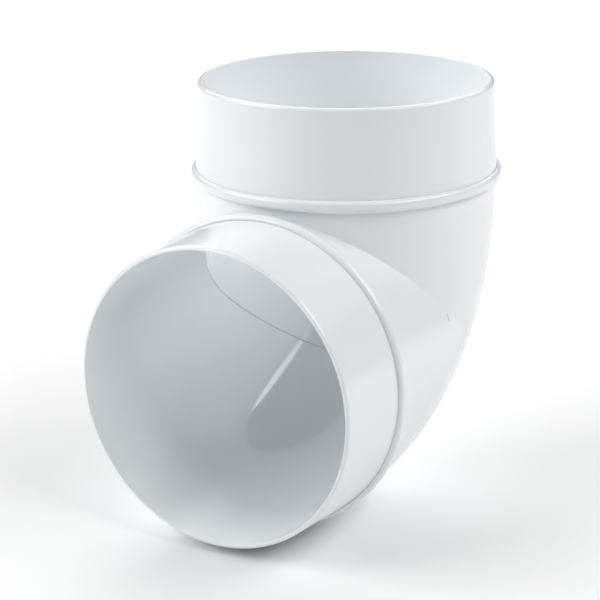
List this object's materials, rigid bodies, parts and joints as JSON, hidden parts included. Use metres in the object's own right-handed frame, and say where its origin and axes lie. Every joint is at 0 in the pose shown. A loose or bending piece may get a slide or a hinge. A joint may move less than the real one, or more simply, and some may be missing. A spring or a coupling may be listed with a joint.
{
  "type": "flue elbow",
  "caption": "90 degree elbow for 100 mm round air or flue duct: mitred inside corner, round back, and on each leg a spigot collar for a duct to slide over, with a half-round stop ring.",
  "frame": {"origin": "the point where the axes of the two legs cross", "axes": "+Z along the axis of the upper leg, out of its rim; -Y along the axis of the front leg, out of its rim; X across the bend, parallel to the inside corner"},
  "size_m": [0.1042, 0.1383, 0.1383],
  "materials": {
    "bend_plastic": "satin",
    "collar_plastic": "gloss"
  },
  "bodies": {
    "root": {"upper_half_bend": "bend_plastic", "front_half_bend": "bend_plastic", "upper_collar": "collar_plastic", "front_collar": "collar_plastic", "upper_stop_ring": "collar_plastic", "front_stop_ring": "collar_plastic"}
  },
  "joints": []
}
